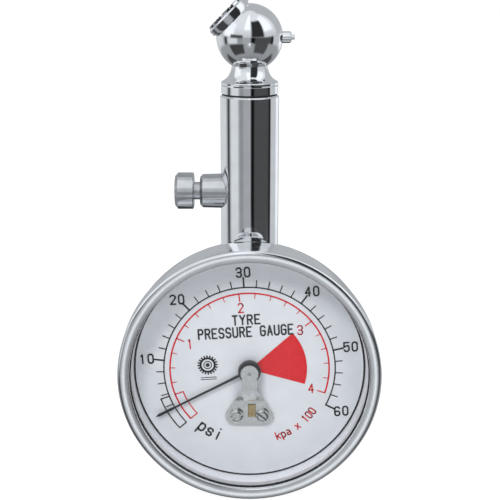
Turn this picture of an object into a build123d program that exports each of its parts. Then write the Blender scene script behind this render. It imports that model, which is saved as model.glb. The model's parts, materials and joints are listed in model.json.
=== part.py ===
from build123d import *
from math import acos, cos, degrees, pi, radians, sin
import os

os.makedirs("parts", exist_ok=True)

# ------------------------------------------------------------------ driving sizes, mm
# A dial tyre gauge: a round case hangs from a straight stem, and a ball chuck tops the stem.
# The origin is the middle of the chuck's mouth, on the face of its flange. +Z runs up the
# stem, the dial faces -Y and the release button points to -X.
press_gap = 0.03  # parts that are screwed or pressed together
running_gap = 0.05  # radial clearance of a pin that turns or slides in its hole

mouth_tilt = 45  # the mouth leans from straight up towards -X, degrees
mouth_height = 7.05  # ball's centre to the flange's face
ball_over_dial = 71.2  # ball's centre over the dial's centre
stem_behind_dial = 11.0  # stem's axis behind the dial's face

case_radius = 27.9
case_wall = 0.8
case_front = 4.8  # heights from here on are over the dial's face, towards the viewer
case_shoulder = -3.0
case_back = -18.0
case_curve = case_shoulder - case_back
bezel_radius = 28.5
bezel_lip_radius = 25.9
bezel_crest_radius = 27.7
bezel_low = 1.0
bezel_underside = 4.9
bezel_lip_top = 5.7
bezel_face_low = 6.0  # the face dips from its crest to the lip's edge
bezel_crest = 6.12
bezel_edge = 0.3
lens_low = 3.4
lens_high = 4.5
lens_radius = 27.0
window_radius = 25.5
dial_radius = 25.05
dial_thickness = 0.5

front_plate_low = -2.6
back_plate_low = -8.55
plate_thickness = 0.8
gear_low = -4.6
gear_thickness = 0.8
link_low = -5.5
link_thickness = 0.6

gear_module = 0.25
pinion_teeth = 10
sector_teeth_full_circle = 96
sector_angle = 215  # where the sector's pivot lies from the dial's centre, degrees
tail_length = 5.0
tail_angle = 143.5  # which way the sector's tail points at no pressure
needle_angle = 207.8  # which way the needle points at no pressure
needle_length = 23.5

tube_radius = 17.0  # the Bourdon tube's middle line
tube_level = -11.1
tube_width = 4.4
tube_depth = 1.7
tube_wall = 0.3
tube_root_angle = 80
tube_tip_angle = 165

stem_radius = 6.35
stem_bore = 4.6
stem_top = 59.0  # heights along the stem are over the dial's centre
spigot_radius = 4.9
spigot_low = 53.2
washer_thickness = 0.4
ball_radius = 7.1
collar_radius = 6.15
collar_top = 61.9
neck_radius = 3.85
air_bore = 1.3

valve_bore = 4.05  # takes the 7.7 mm thread of a tyre valve
bush_radius = 4.7
bush_low = 2.6  # heights along the mouth are over the ball's centre
flange_radius = 5.2
flange_low = 5.5
rim_height = 0.45
rim_notches = 10

button_height = 37.8
boss_radius = 3.7
boss_end = 10.9  # heights along the button are out from the stem's axis
button_travel = 1.3
knob_radius = 4.05
knob_low = boss_end + button_travel + 0.1
knob_high = 16.5

# ------------------------------------------------------------------ planes and axes
mouth_x = -sin(radians(mouth_tilt))
mouth_z = cos(radians(mouth_tilt))
ball_centre = Vector(-mouth_height * mouth_x, 0, -mouth_height * mouth_z)
dial_centre = ball_centre + Vector(0, -stem_behind_dial, -ball_over_dial)
stem_foot = ball_centre + Vector(0, 0, -ball_over_dial)
button_centre = stem_foot + Vector(0, 0, button_height)

dial_axis = Axis(dial_centre, (0, -1, 0))
stem_axis = Axis(stem_foot, (0, 0, 1))
mouth_axis = Axis(ball_centre, (mouth_x, 0, mouth_z))
button_axis = Axis(button_centre, (-1, 0, 0))
nub_axis = Axis(ball_centre, (1, 0, 0))

# Half sections: local x is the radius and local y runs along the turning axis.
stem_section = Plane(origin=stem_foot, x_dir=(1, 0, 0), z_dir=(0, -1, 0))
mouth_section = Plane(origin=ball_centre, x_dir=(mouth_z, 0, -mouth_x), z_dir=(0, -1, 0))
button_section = Plane(origin=button_centre, x_dir=(0, 0, 1), z_dir=(0, -1, 0))
nub_section = Plane(origin=ball_centre, x_dir=(0, 0, -1), z_dir=(0, -1, 0))


def dial_level(height, spot=(0, 0), angle=0):
    """Plane parallel to the dial, through a spot on it, with local x at an angle from +X."""
    origin = dial_centre + Vector(spot[0], -height, spot[1])
    along = (cos(radians(angle)), 0, sin(radians(angle)))
    return Plane(origin=origin, x_dir=along, z_dir=(0, -1, 0))


def dial_ray(angle):
    """Half section through the dial's axis, at an angle seen from the front."""
    across = cos(radians(angle))
    up = sin(radians(angle))
    return Plane(origin=dial_centre, x_dir=(across, 0, up), z_dir=(up, 0, -across))


def polar(radius, angle):
    """Point on a dial level, from its distance and its angle in degrees."""
    return (radius * cos(radians(angle)), radius * sin(radians(angle)))


dial_turn = (dial_ray(0), dial_axis)
stem_turn = (stem_section, stem_axis)
mouth_turn = (mouth_section, mouth_axis)
button_turn = (button_section, button_axis)
nub_turn = (nub_section, nub_axis)

centre_distance = gear_module * (pinion_teeth + sector_teeth_full_circle) / 2
sector_pivot = polar(centre_distance, sector_angle)
tail_reach = polar(tail_length, tail_angle)
tail_pin = (sector_pivot[0] + tail_reach[0], sector_pivot[1] + tail_reach[1])
tip_pin = polar(tube_radius, tube_tip_angle)
bridge_screw_spots = [(-2.85, -10.6), (2.85, -10.6)]
upper_pillar_spots = [(8.0, 5.0), (-3.5, 8.5)]
pillar_spots = bridge_screw_spots + upper_pillar_spots
socket_screw_spots = [(-3.0, 14.3), (3.0, 14.3)]


# ------------------------------------------------------------------ shared shapes
def turn(frame, points, mode=Mode.ADD):
    """Turn a closed outline of (radius, height) points into the part being built."""
    section, axis = frame
    with BuildSketch(section) as profile:
        with BuildLine():
            Polyline(*points, close=True)
        make_face()
    revolve(profile.sketch, axis=axis, mode=mode)


def turn_ring(frame, inner, outer, low, high, mode=Mode.ADD):
    """Turn a plain ring, or a disc when the inner radius is 0."""
    turn(frame, [(inner, low), (outer, low), (outer, high), (inner, high)], mode)


def turn_bowl(inset, front, mode=Mode.ADD):
    """Turn the solid bowl that lies inside the case's outside by the inset."""
    flat = case_radius - case_curve
    with BuildSketch(dial_ray(0)) as profile:
        with BuildLine():
            Line((0, front), (0, case_back + inset))
            Line((0, case_back + inset), (flat, case_back + inset))
            CenterArc((flat, case_shoulder), case_curve - inset, -90, 90)
            Line((case_radius - inset, case_shoulder), (case_radius - inset, front))
            Line((case_radius - inset, front), (0, front))
        make_face()
    revolve(profile.sketch, axis=dial_axis, mode=mode)


def tube_section(angle, thicker):
    """Cross-section of the Bourdon tube's outside, grown by an allowance."""
    with BuildSketch(dial_ray(angle)) as section:
        with Locations((tube_radius, tube_level)):
            SlotOverall(tube_width + 2 * thicker, tube_depth + 2 * thicker, rotation=90)
    return section.sketch


def round_bar(spot, radius, low, high, mode=Mode.ADD):
    """Round bar between two levels over the dial, at a spot on the dial."""
    with BuildSketch(dial_level(low, spot)) as outline:
        Circle(radius)
    extrude(outline.sketch, amount=high - low, mode=mode)


def add_teeth(centre, pitch_radius, angles, low, high):
    """Straight-sided gear teeth about a centre, at the given angles."""
    pitch_length = gear_module * pi
    tooth = [
        (pitch_radius - 1.6 * gear_module, 0.32 * pitch_length),
        (pitch_radius - 1.1 * gear_module, 0.29 * pitch_length),
        (pitch_radius, 0.20 * pitch_length),
        (pitch_radius + 0.85 * gear_module, 0.09 * pitch_length),
    ]
    outline = tooth + [(radius, -half) for radius, half in reversed(tooth)]
    for angle in angles:
        with BuildSketch(dial_level(low, centre, angle)) as tooth_sketch:
            with BuildLine():
                Polyline(*outline, close=True)
            make_face()
        extrude(tooth_sketch.sketch, amount=high - low)


def screw(spot, head_radius, head_low, head_high, shank_radius, shank_low, slot_angle=0):
    """Slotted screw whose domed head faces the viewer."""
    slot_width = head_radius * 0.3
    slot_depth = (head_high - head_low) * 0.55
    rim = (head_low + head_high) / 2
    centre_line = Axis(dial_level(0, spot).origin, (0, -1, 0))
    half_section = Plane(origin=dial_level(0, spot).origin, x_dir=(1, 0, 0), z_dir=(0, 0, -1))
    with BuildSketch(half_section) as head:
        with BuildLine():
            Polyline((0, head_high), (0, head_low), (head_radius, head_low), (head_radius, rim))
            Spline((head_radius, rim), (0, head_high), tangents=((0, 1), (-1, 0)))
        make_face()
    revolve(head.sketch, axis=centre_line)
    round_bar(spot, shank_radius, shank_low, head_low)
    with BuildSketch(dial_level(head_high - slot_depth, spot, slot_angle)) as slot:
        Rectangle(head_radius * 3, slot_width)
    extrude(slot.sketch, amount=slot_depth + 1, mode=Mode.SUBTRACT)


# ------------------------------------------------------------------ case and window
nipple_radius = 3.4
block_top = 21.0

with BuildPart() as case:
    turn_bowl(0, case_front)
    turn_bowl(case_wall, case_front + 1, mode=Mode.SUBTRACT)
    turn_ring(stem_turn, 0, nipple_radius + press_gap, block_top, case_radius + 1, mode=Mode.SUBTRACT)
case.part.label = "case"
export_step(case.part, "parts/case.step")

bezel_roll = bezel_radius - bezel_crest_radius
hem_edge = 0.2

with BuildPart() as bezel:
    with BuildSketch(dial_ray(0)):
        with BuildLine():
            Polyline(
                (bezel_lip_radius, bezel_lip_top),
                (bezel_lip_radius, bezel_underside),
                (case_radius + press_gap, bezel_underside),
                (case_radius + press_gap, bezel_low),
                (bezel_radius - hem_edge, bezel_low),
                (bezel_radius, bezel_low + hem_edge),
                (bezel_radius, bezel_crest - bezel_roll),
            )
            CenterArc((bezel_crest_radius, bezel_crest - bezel_roll), bezel_roll, 0, 90)
            Spline(
                (bezel_crest_radius, bezel_crest),
                (bezel_lip_radius + bezel_edge, bezel_face_low),
                tangents=((-1, 0), (-1, -0.15)),
            )
            CenterArc(
                (bezel_lip_radius + bezel_edge, bezel_lip_top),
                bezel_edge,
                90,
                90,
            )
        make_face()
    revolve(axis=dial_axis)
bezel.part.label = "bezel"
export_step(bezel.part, "parts/bezel.step")

with BuildPart() as lens:
    turn_ring(dial_turn, 0, lens_radius, lens_low, lens_high)
lens.part.label = "lens"
export_step(lens.part, "parts/lens.step")

with BuildPart() as lens_gasket:
    turn_ring(
        dial_turn,
        window_radius + 0.2,
        lens_radius,
        lens_high + press_gap,
        bezel_underside - press_gap,
    )
lens_gasket.part.label = "lens_gasket"
export_step(lens_gasket.part, "parts/lens_gasket.step")

# A black seat stands on the bowl's curve round the dial, and the trim ring on it carries the
# lens clear of the needle.
seat_low = -4.2
seat_radius = dial_radius + 0.15
trim_low = -0.1
ring_outer = case_radius - case_wall - 2 * press_gap

with BuildPart() as seat_ring:
    turn_ring(dial_turn, seat_radius, ring_outer, seat_low, trim_low - press_gap)
seat_ring.part.label = "seat_ring"
export_step(seat_ring.part, "parts/seat_ring.step")

with BuildPart() as trim_ring:
    turn_ring(dial_turn, window_radius, ring_outer, trim_low, lens_low - press_gap)
trim_ring.part.label = "trim_ring"
export_step(trim_ring.part, "parts/trim_ring.step")

# ------------------------------------------------------------------ dial and front bridge
arbor_radius = 0.5
arbor_hole = 1.5  # in the dial
pivot_radius = 0.35
bridge_top = 3.0
bridge_thickness = 0.5
bridge_base_low = press_gap
tab_width = 1.5
tab_height = 2.9
tab_spot = (0.5, -9.5)
tab_top = 0.75
slip_gap = 0.1  # around the tab in its slots
screw_hole = 0.75
pillar_radius = 1.5

with BuildPart() as dial_plate:
    with BuildSketch(dial_level(-dial_thickness)):
        Circle(dial_radius)
        Circle(arbor_hole, mode=Mode.SUBTRACT)
        with Locations(*bridge_screw_spots):
            Circle(screw_hole, mode=Mode.SUBTRACT)
        with Locations(tab_spot):
            Rectangle(tab_width + 2 * slip_gap, tab_height + 2 * slip_gap, mode=Mode.SUBTRACT)
    extrude(amount=dial_thickness)
dial_plate.part.label = "dial_plate"
export_step(dial_plate.part, "parts/dial_plate.step")

bridge_tip_radius = 1.95
bridge_neck_width = 3.2
bridge_upper_bend = -3.2
bridge_lower_bend = -7.2
bridge_foot = -12.9
foot_corner = 2.0
bridge_waist = -4.6  # where the foot's splay starts
bridge_half_width = 5.35

with BuildPart() as front_bridge:
    with BuildSketch(dial_level(0)):
        with Locations((-bridge_half_width + foot_corner, bridge_foot + foot_corner)):
            Circle(foot_corner)
        with Locations((bridge_half_width - foot_corner, bridge_foot + foot_corner)):
            Circle(foot_corner)
        with Locations((0, bridge_waist)):
            Circle(bridge_neck_width / 2)
        make_hull()
        with Locations((0, bridge_waist / 2)):
            Rectangle(bridge_neck_width, -bridge_waist)
        Circle(bridge_tip_radius)
        Circle(pivot_radius + running_gap, mode=Mode.SUBTRACT)
        with Locations(*bridge_screw_spots):
            Circle(screw_hole, mode=Mode.SUBTRACT)
        with Locations(tab_spot):
            Rectangle(tab_width + 2 * slip_gap, tab_height + 2 * slip_gap, mode=Mode.SUBTRACT)
    extrude(amount=bridge_top)
    # The strip's side view: tip level, slope and base level, bent from one sheet.
    side_plane = Plane(origin=dial_centre, x_dir=(0, 0, 1), z_dir=(1, 0, 0))
    with BuildSketch(side_plane):
        with BuildLine():
            Polyline(
                (bridge_tip_radius + 1, bridge_top),
                (bridge_upper_bend, bridge_top),
                (bridge_lower_bend, bridge_base_low + bridge_thickness),
                (bridge_foot - 1, bridge_base_low + bridge_thickness),
                (bridge_foot - 1, bridge_base_low),
                (bridge_lower_bend - 0.2, bridge_base_low),
                (bridge_upper_bend - 0.2, bridge_top - bridge_thickness),
                (bridge_tip_radius + 1, bridge_top - bridge_thickness),
                close=True,
            )
        make_face()
    extrude(amount=2 * bridge_half_width, both=True, mode=Mode.INTERSECT)
front_bridge.part.label = "front_bridge"
export_step(front_bridge.part, "parts/front_bridge.step")

# The bridge screws reach through the dial, its spacers and the front plate into the pillars.
bridge_head_radius = 1.5
bridge_head_low = bridge_base_low + bridge_thickness + press_gap
bridge_head_high = 1.6
bridge_screw_reach = -5.0
screw_slack = 0.1  # radial, in the plain holes that stand in for threads
slot_angles = (24, -38)

with BuildPart() as bridge_screws:
    for spot, slot_angle in zip(bridge_screw_spots, slot_angles):
        screw(
            spot,
            bridge_head_radius,
            bridge_head_low,
            bridge_head_high,
            screw_hole - screw_slack,
            bridge_screw_reach,
            slot_angle,
        )
bridge_screws.part.label = "bridge_screws"
export_step(bridge_screws.part, "parts/bridge_screws.step")

front_plate_high = front_plate_low + plate_thickness

with BuildPart() as locating_tab:
    with BuildSketch(dial_level(front_plate_high + press_gap)):
        with Locations(tab_spot):
            Rectangle(tab_width, tab_height)
    extrude(amount=tab_top - front_plate_high)
locating_tab.part.label = "locating_tab"
export_step(locating_tab.part, "parts/locating_tab.step")

with BuildPart() as dial_spacers:
    for spot in bridge_screw_spots:
        round_bar(spot, pillar_radius, front_plate_high + press_gap, -dial_thickness - press_gap)
        round_bar(spot, screw_hole, front_plate_high, -dial_thickness, mode=Mode.SUBTRACT)
dial_spacers.part.label = "dial_spacers"
export_step(dial_spacers.part, "parts/dial_spacers.step")

# ------------------------------------------------------------------ needle
hub_low = 0.9
hub_high = 2.1
hub_radius = 2.5
needle_boss_radius = 1.6
needle_low = 0.62
needle_thickness = 0.22
needle_half_width = 0.2
needle_tip_half_width = 0.3
needle_tip_start = 18.5

with BuildPart() as pointer:
    with BuildSketch(dial_level(needle_low, angle=needle_angle)):
        with BuildLine():
            Polyline(
                (0, -needle_half_width * 1.5),
                (needle_tip_start, -needle_half_width),
                (needle_tip_start + 1, -needle_tip_half_width),
                (needle_length - 0.8, -needle_tip_half_width),
                (needle_length, 0),
                (needle_length - 0.8, needle_tip_half_width),
                (needle_tip_start + 1, needle_tip_half_width),
                (needle_tip_start, needle_half_width),
                (0, needle_half_width * 1.5),
                close=True,
            )
        make_face()
        Circle(needle_boss_radius)
        Circle(arbor_radius + press_gap, mode=Mode.SUBTRACT)
    extrude(amount=needle_thickness)
pointer.part.label = "pointer"
export_step(pointer.part, "parts/pointer.step")

with BuildPart() as pointer_hub:
    turn(
        dial_turn,
        [
            (arbor_radius + press_gap, hub_low),
            (hub_radius, hub_low),
            (hub_radius, hub_high - 0.3),
            (hub_radius - 0.3, hub_high),
            (arbor_radius + press_gap, hub_high),
        ],
    )
pointer_hub.part.label = "pointer_hub"
export_step(pointer_hub.part, "parts/pointer_hub.step")

# ------------------------------------------------------------------ movement
back_plate_high = back_plate_low + plate_thickness
pinion_low = -5.0
pinion_high = -3.3
pinion_pitch = gear_module * pinion_teeth / 2
sector_pitch = gear_module * sector_teeth_full_circle / 2

with BuildPart() as pinion_arbor:
    turn(
        dial_turn,
        [
            (0, back_plate_low + 0.1),
            (pivot_radius, back_plate_low + 0.1),
            (pivot_radius, back_plate_high + 0.1),
            (arbor_radius, back_plate_high + 0.1),
            (arbor_radius, bridge_top - bridge_thickness - 0.1),
            (pivot_radius, bridge_top - bridge_thickness - 0.1),
            (pivot_radius, bridge_top - 0.05),
            (0, bridge_top - 0.05),
        ],
    )
    turn_ring(dial_turn, 0, pinion_pitch - 1.2 * gear_module, pinion_low, pinion_high)
    tooth_pitch = 360 / pinion_teeth
    pinion_angles = [sector_angle + tooth_pitch * (index + 0.5) for index in range(pinion_teeth)]
    add_teeth((0, 0), pinion_pitch, pinion_angles, pinion_low, pinion_high)
pinion_arbor.part.label = "pinion_arbor"
export_step(pinion_arbor.part, "parts/pinion_arbor.step")

sector_tooth_pitch = 360 / sector_teeth_full_circle
sector_mesh_angle = sector_angle - 180
first_tooth = -8
last_tooth = 2
sector_start = sector_mesh_angle + (first_tooth - 0.5) * sector_tooth_pitch
sector_sweep = (last_tooth - first_tooth + 1) * sector_tooth_pitch
sector_root = sector_pitch - 1.2 * gear_module
sector_arbor_radius = 0.6
sector_hub_radius = 1.6
sector_hub_reach = 0.5
rim_width = 1.6
tail_half_width = 1.0
arm_width = 1.3
arm_inset = 3.2

gear_high = gear_low + gear_thickness

with BuildPart() as sector_gear:
    with BuildSketch(dial_level(gear_low, sector_pivot)):
        with BuildLine():
            outer_rim = CenterArc((0, 0), sector_root, sector_start, sector_sweep)
            inner_rim = CenterArc((0, 0), sector_root - rim_width, sector_start, sector_sweep)
            Line(inner_rim @ 0, outer_rim @ 0)
            Line(inner_rim @ 1, outer_rim @ 1)
        make_face()
        for arm_angle in (sector_start + arm_inset, sector_start + sector_sweep - arm_inset):
            with Locations(Location(polar(sector_root / 2, arm_angle), arm_angle)):
                Rectangle(sector_root - rim_width / 2, arm_width)
        with Locations(Location(polar(tail_length / 2, tail_angle), tail_angle)):
            SlotCenterToCenter(tail_length, 2 * tail_half_width)
        Circle(sector_hub_radius)
    extrude(amount=gear_thickness)
    round_bar(sector_pivot, sector_hub_radius, gear_low - sector_hub_reach, gear_high + sector_hub_reach)
    sector_angles = [
        sector_mesh_angle + index * sector_tooth_pitch for index in range(first_tooth, last_tooth + 1)
    ]
    add_teeth(sector_pivot, sector_pitch, sector_angles, gear_low, gear_high)
    round_bar(sector_pivot, sector_arbor_radius + press_gap, gear_low - 1, gear_high + 1, mode=Mode.SUBTRACT)
    round_bar(tail_pin, arbor_radius + press_gap, gear_low, gear_high, mode=Mode.SUBTRACT)
sector_gear.part.label = "sector_gear"
export_step(sector_gear.part, "parts/sector_gear.step")

with BuildPart() as sector_arbor:
    round_bar(sector_pivot, sector_arbor_radius, back_plate_high + 0.1, front_plate_low - 0.1)
    round_bar(sector_pivot, pivot_radius, back_plate_low + 0.1, front_plate_high - 0.1)
sector_arbor.part.label = "sector_arbor"
export_step(sector_arbor.part, "parts/sector_arbor.step")

with BuildPart() as tail_rivet:
    round_bar(tail_pin, arbor_radius, link_low - 0.3, gear_high)
tail_rivet.part.label = "tail_rivet"
export_step(tail_rivet.part, "parts/tail_rivet.step")

link_half_width = 1.1
open_pivot_gap = 0.3

with BuildPart() as link:
    with BuildSketch(dial_level(link_low)):
        with Locations(tail_pin, tip_pin):
            Circle(link_half_width)
        make_hull()
        with Locations(tail_pin):
            Circle(arbor_radius + running_gap, mode=Mode.SUBTRACT)
        with Locations(tip_pin):
            Circle(arbor_radius + open_pivot_gap, mode=Mode.SUBTRACT)
    extrude(amount=link_thickness)
link.part.label = "link"
export_step(link.part, "parts/link.step")


plate_corner = 2.4
back_plate_corner = 2.0


def plate_outline(corner_radius):
    """Outline that wraps the pillars and the sector's pivot."""
    with Locations(sector_pivot, *pillar_spots):
        Circle(corner_radius)
    make_hull()


with BuildPart() as front_plate:
    with BuildSketch(dial_level(front_plate_low)):
        plate_outline(plate_corner)
        Circle(arbor_radius + running_gap, mode=Mode.SUBTRACT)
        with Locations(sector_pivot):
            Circle(pivot_radius + running_gap, mode=Mode.SUBTRACT)
        with Locations(*pillar_spots):
            Circle(screw_hole, mode=Mode.SUBTRACT)
    extrude(amount=plate_thickness)
front_plate.part.label = "front_plate"
export_step(front_plate.part, "parts/front_plate.step")

with BuildPart() as back_plate:
    with BuildSketch(dial_level(back_plate_low)):
        with Locations(sector_pivot, *pillar_spots, *socket_screw_spots):
            Circle(back_plate_corner)
        make_hull()
        Circle(pivot_radius + running_gap, mode=Mode.SUBTRACT)
        with Locations(sector_pivot):
            Circle(pivot_radius + running_gap, mode=Mode.SUBTRACT)
        with Locations(*pillar_spots, *socket_screw_spots):
            Circle(screw_hole, mode=Mode.SUBTRACT)
    extrude(amount=plate_thickness)
back_plate.part.label = "back_plate"
export_step(back_plate.part, "parts/back_plate.step")

with BuildPart() as pillars:
    for spot in pillar_spots:
        round_bar(spot, pillar_radius, back_plate_high + press_gap, front_plate_low - press_gap)
        round_bar(spot, screw_hole - 0.05, back_plate_high, front_plate_low, mode=Mode.SUBTRACT)
pillars.part.label = "pillars"
export_step(pillars.part, "parts/pillars.step")

# Two short screws hold the front plate's upper corners.
plate_head_radius = 1.3
plate_head_height = 0.7
front_screw_reach = -4.6
back_screw_reach = -5.6
back_slot_depth = 0.3

with BuildPart() as front_screws:
    for spot in upper_pillar_spots:
        screw(
            spot,
            plate_head_radius,
            front_plate_high + press_gap,
            front_plate_high + plate_head_height,
            screw_hole - screw_slack,
            front_screw_reach,
        )
front_screws.part.label = "front_screws"
export_step(front_screws.part, "parts/front_screws.step")

# Four screws come from behind, through the back plate into the pillars.
with BuildPart() as back_screws:
    for spot in pillar_spots:
        head_end = back_plate_low - plate_head_height
        round_bar(spot, plate_head_radius, head_end, back_plate_low - press_gap)
        round_bar(spot, screw_hole - screw_slack, back_plate_low - press_gap, back_screw_reach)
        with BuildSketch(dial_level(head_end, spot, 60)) as slot_sketch:
            Rectangle(3 * plate_head_radius, 0.3 * plate_head_radius)
        extrude(slot_sketch.sketch, amount=back_slot_depth, mode=Mode.SUBTRACT)
back_screws.part.label = "back_screws"
export_step(back_screws.part, "parts/back_screws.step")

# ------------------------------------------------------------------ hairspring
collet_radius = 1.2
collet_overhang = 0.1
spiral_low = -6.6
spiral_height = 0.5
spiral_inner = 1.45
spiral_outer = 4.4
spiral_turns = 4
spiral_thickness = 0.14
spiral_points = 49
stud_radius = 0.5


def spiral(offset):
    """Points of the hairspring's edge, offset from its middle line."""
    points = []
    for index in range(spiral_points):
        share = index / (spiral_points - 1)
        radius = spiral_inner + (spiral_outer - spiral_inner) * share + offset
        points.append(polar(radius, 360 * spiral_turns * share))
    return points


with BuildPart() as hairspring:
    with BuildSketch(dial_level(spiral_low)):
        with BuildLine():
            inner_edge = Spline(*spiral(-spiral_thickness / 2))
            outer_edge = Spline(*spiral(spiral_thickness / 2))
            Line(inner_edge @ 0, outer_edge @ 0)
            Line(inner_edge @ 1, outer_edge @ 1)
        make_face()
    extrude(amount=spiral_height)
hairspring.part.label = "hairspring"
export_step(hairspring.part, "parts/hairspring.step")

with BuildPart() as hairspring_collet:
    turn_ring(
        dial_turn,
        arbor_radius + press_gap,
        collet_radius,
        spiral_low - collet_overhang,
        spiral_low + spiral_height + collet_overhang,
    )
hairspring_collet.part.label = "hairspring_collet"
export_step(hairspring_collet.part, "parts/hairspring_collet.step")

with BuildPart() as hairspring_stud:
    stud_spot = (spiral_outer + spiral_thickness / 2 + stud_radius + press_gap, 0)
    round_bar(stud_spot, stud_radius, back_plate_high + press_gap, spiral_low + spiral_height)
hairspring_stud.part.label = "hairspring_stud"
export_step(hairspring_stud.part, "parts/hairspring_stud.step")

# ------------------------------------------------------------------ Bourdon tube and socket
tube_arc = 360 + tube_root_angle - tube_tip_angle

with BuildPart() as bourdon_tube:
    revolve(tube_section(tube_tip_angle, 0), axis=dial_axis, revolution_arc=tube_arc)
    revolve(
        tube_section(tube_tip_angle, -tube_wall),
        axis=dial_axis,
        revolution_arc=tube_arc,
        mode=Mode.SUBTRACT,
    )
bourdon_tube.part.label = "bourdon_tube"
export_step(bourdon_tube.part, "parts/bourdon_tube.step")

end_piece_arc = 9
end_piece_depth = 2.9
end_piece_width = 5.2
closed_share = 5  # degrees of the end piece that lie past the tube's end

with BuildPart() as bourdon_end_piece:
    with BuildSketch(dial_ray(tube_tip_angle - closed_share)) as end_section:
        with Locations((tube_radius, tube_level)):
            Rectangle(end_piece_depth, end_piece_width)
    revolve(end_section.sketch, axis=dial_axis, revolution_arc=end_piece_arc)
    revolve(
        tube_section(tube_tip_angle - 0.2, press_gap),
        axis=dial_axis,
        revolution_arc=end_piece_arc,
        mode=Mode.SUBTRACT,
    )
bourdon_end_piece.part.label = "bourdon_end_piece"
export_step(bourdon_end_piece.part, "parts/bourdon_end_piece.step")

# The tip pin stands on the end piece's front face and drives the link.
end_piece_front = tube_level + end_piece_width / 2

with BuildPart() as tip_stud:
    round_bar(tip_pin, 0.9, end_piece_front + press_gap, link_low - 0.3)
    round_bar(tip_pin, arbor_radius, link_low - 0.3, link_low + link_thickness + 0.4)
tip_stud.part.label = "tip_stud"
export_step(tip_stud.part, "parts/tip_stud.step")

block_half_width = 4.5
block_low = 12.8
block_back = -13.6
block_front = back_plate_low - press_gap
nipple_top = 29.5
nipple_bore = 0.9
socket_screw_reach = -12.0
socket_hole_end = -12.2
passage_radius = 0.5
block_edge = 0.5

with BuildPart() as socket_block:
    with BuildSketch(dial_level(block_back)) as block_sketch:
        with Locations((0, (block_low + block_top) / 2)):
            Rectangle(2 * block_half_width, block_top - block_low)
    extrude(amount=block_front - block_back)
    chamfer(socket_block.faces().sort_by(Axis.Y)[-1].edges(), length=block_edge)
    turn_ring(stem_turn, 0, nipple_radius, block_top - 0.5, nipple_top)
    turn_ring(stem_turn, 0, nipple_bore, tube_radius - 0.6, nipple_top + 1, mode=Mode.SUBTRACT)
    revolve(
        tube_section(tube_root_angle - 20, press_gap),
        axis=dial_axis,
        revolution_arc=21,
        mode=Mode.SUBTRACT,
    )
    for spot in socket_screw_spots:
        round_bar(spot, screw_hole, socket_hole_end, block_front + 1, mode=Mode.SUBTRACT)
    # The cross passage joins the nipple's bore to the tube's open root.
    with BuildSketch(Plane(origin=stem_foot, x_dir=(0, 1, 0), z_dir=(1, 0, 0))) as passage:
        with Locations((0, tube_radius)):
            Circle(passage_radius)
    extrude(passage.sketch, amount=3.2, mode=Mode.SUBTRACT)
socket_block.part.label = "socket_block"
export_step(socket_block.part, "parts/socket_block.step")

socket_head_radius = 1.4
socket_head_height = 0.8

with BuildPart() as socket_screws:
    for spot in socket_screw_spots:
        screw(
            spot,
            socket_head_radius,
            back_plate_high + press_gap,
            back_plate_high + socket_head_height,
            screw_hole - screw_slack,
            socket_screw_reach,
            45,
        )
socket_screws.part.label = "socket_screws"
export_step(socket_screws.part, "parts/socket_screws.step")

with BuildPart() as socket_gasket:
    turn_ring(stem_turn, nipple_radius + press_gap, nipple_radius + 0.9, block_top + press_gap, case_radius)
    turn_bowl(case_wall + press_gap, case_front, mode=Mode.INTERSECT)
socket_gasket.part.label = "socket_gasket"
export_step(socket_gasket.part, "parts/socket_gasket.step")

# ------------------------------------------------------------------ stem
stem_edge = 0.35
thread_low = spigot_low - 0.1
boss_spigot_radius = 2.7

with BuildPart() as stem:
    turn(
        stem_turn,
        [
            (nipple_radius + press_gap, block_low),
            (stem_radius, block_low),
            (stem_radius, stem_top - stem_edge),
            (stem_radius - stem_edge, stem_top),
            (spigot_radius + press_gap, stem_top),
            (spigot_radius + press_gap, thread_low),
            (stem_bore, thread_low),
            (stem_bore, nipple_top + 0.4),
            (nipple_radius + press_gap, nipple_top + 0.4),
        ],
    )
    turn_bowl(-press_gap, case_front, mode=Mode.SUBTRACT)
    turn_ring(button_turn, 0, boss_spigot_radius + press_gap, 0, stem_radius + 1, mode=Mode.SUBTRACT)
stem.part.label = "stem"
export_step(stem.part, "parts/stem.step")

with BuildPart() as stem_washer:
    turn_ring(
        stem_turn,
        spigot_radius + press_gap,
        stem_radius - 0.4,
        stem_top + press_gap,
        stem_top + washer_thickness - press_gap,
    )
stem_washer.part.label = "stem_washer"
export_step(stem_washer.part, "parts/stem_washer.step")

# ------------------------------------------------------------------ release button
boss_foot_radius = boss_radius + 0.15
boss_inner_end = 4.7
boss_edge = 0.6
spring_chamber = 2.0
spring_floor = 6.2
rod_radius = 0.8
rod_hole = 1.15
neck_inner_end = 8.9
knob_spigot = 1.2
knob_bore_depth = 14.8
knob_edge = 0.75
disc_low = 3.0
disc_high = 3.9

with BuildPart() as release_boss:
    turn(
        button_turn,
        [
            (0, boss_inner_end),
            (boss_foot_radius, boss_inner_end),
            (boss_radius, boss_end - boss_edge),
            (boss_radius - boss_edge, boss_end),
            (0, boss_end),
        ],
    )
    turn_ring(stem_turn, 0, stem_radius + press_gap, 0, stem_top, mode=Mode.SUBTRACT)
    turn_ring(button_turn, 0, boss_spigot_radius, boss_inner_end, stem_radius + 0.5)
    turn_ring(button_turn, 0, spring_chamber, spring_floor, boss_end, mode=Mode.SUBTRACT)
    turn_ring(button_turn, 0, rod_hole, 0, boss_end, mode=Mode.SUBTRACT)
    # The bleed hole lets the air out at the back.
    with BuildSketch(Plane(origin=button_centre, x_dir=(-1, 0, 0), z_dir=(0, 1, 0))) as bleed:
        with Locations((spring_floor + 1.6, 0)):
            Circle(0.4)
    extrude(bleed.sketch, amount=boss_radius + 1, mode=Mode.SUBTRACT)
release_boss.part.label = "release_boss"
export_step(release_boss.part, "parts/release_boss.step")

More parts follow.
